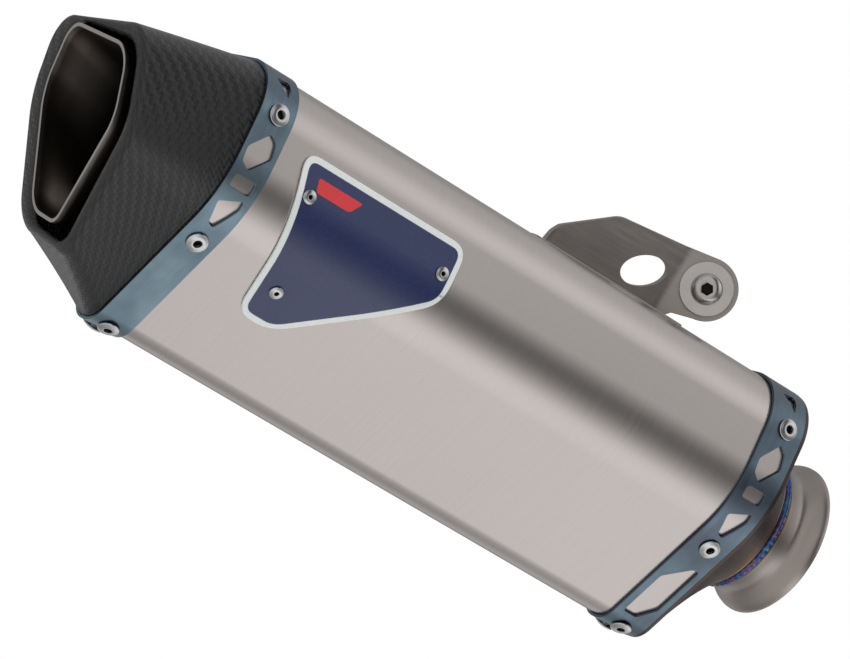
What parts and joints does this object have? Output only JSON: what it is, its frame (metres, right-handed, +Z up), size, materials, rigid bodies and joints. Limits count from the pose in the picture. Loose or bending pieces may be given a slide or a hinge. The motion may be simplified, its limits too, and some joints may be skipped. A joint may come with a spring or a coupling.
{
  "type": "slip-on motorcycle silencer",
  "caption": "Shield-section slip-on silencer can with a slanted carbon outlet cap, riveted straps, a top hanger bracket and a flared inlet.",
  "frame": {"origin": "centre of the inlet flare's open end, on the gas passage's axis", "axes": "+X along the can towards the inlet, -Y the outer side with the badge, +Z up to the hanger bracket"},
  "size_m": [0.4128, 0.1161, 0.1639],
  "materials": {
    "brushed_titanium": "titanium sheet, fine brushing along the can",
    "blue_titanium": "anodised blue titanium, satin",
    "carbon_fibre": "woven carbon fibre, satin lacquer",
    "tip_titanium": "plain titanium sheet, bright cut edge",
    "stainless": "plain stainless sheet",
    "inlet_stainless": "stainless, straw heat tint near the weld",
    "heat_tinted_weld": "rippled weld bead, blue and gold heat tint",
    "flare_titanium": "drawn sheet, satin",
    "rivet_aluminium": "bright blind rivet",
    "fastener_steel": "bright zinc-plated steel",
    "bracket_steel": "raw brushed steel sheet",
    "packing": "glass wool",
    "badge_enamel": "gloss enamel with a white border and a red bar"
  },
  "bodies": {
    "silencer": {"outer_sleeve": "brushed_titanium", "front_strap": "blue_titanium", "rear_strap": "blue_titanium", "outlet_cap": "carbon_fibre", "outlet_tip": "tip_titanium", "outlet_bulkhead": "stainless", "perforated_core": "stainless", "packing_wool": "packing", "inlet_cap": "inlet_stainless", "inlet_neck": "inlet_stainless", "inlet_weld_bead": "heat_tinted_weld", "inlet_flare": "flare_titanium", "badge_plate": "badge_enamel", "hanger_bracket": "bracket_steel", "hanger_nut": "fastener_steel", "front_strap_rivet_1": "rivet_aluminium", "front_strap_rivet_2": "rivet_aluminium", "front_strap_rivet_3": "rivet_aluminium", "front_strap_rivet_4": "rivet_aluminium", "front_strap_rivet_5": "rivet_aluminium", "front_strap_rivet_6": "rivet_aluminium", "rear_strap_rivet_1": "rivet_aluminium", "rear_strap_rivet_2": "rivet_aluminium", "rear_strap_rivet_3": "rivet_aluminium", "rear_strap_rivet_4": "rivet_aluminium", "rear_strap_rivet_5": "rivet_aluminium", "rear_strap_rivet_6": "rivet_aluminium", "badge_rivet_1": "rivet_aluminium", "badge_rivet_2": "rivet_aluminium", "badge_rivet_3": "rivet_aluminium"},
    "washer": {"hanger_washer": "fastener_steel"},
    "bolt": {"hanger_bolt": "fastener_steel"}
  },
  "joints": [
    {"name": "washer_travel", "type": "slide", "parent": "silencer", "child": "washer", "axis": [-0.5, -0.866, 0], "range_m": [0, 0.0125]},
    {"name": "bolt_turn", "type": "hinge", "parent": "washer", "child": "bolt", "pos_m": [-0.1031, -0.00778, 0.0784], "axis": [-0.5, -0.866, 0], "range_deg": [0, 3600]}
  ],
  "couplings": [
    {"joint": "washer_travel", "follows": "bolt_turn", "m_per_rad": 0.00019894}
  ]
}
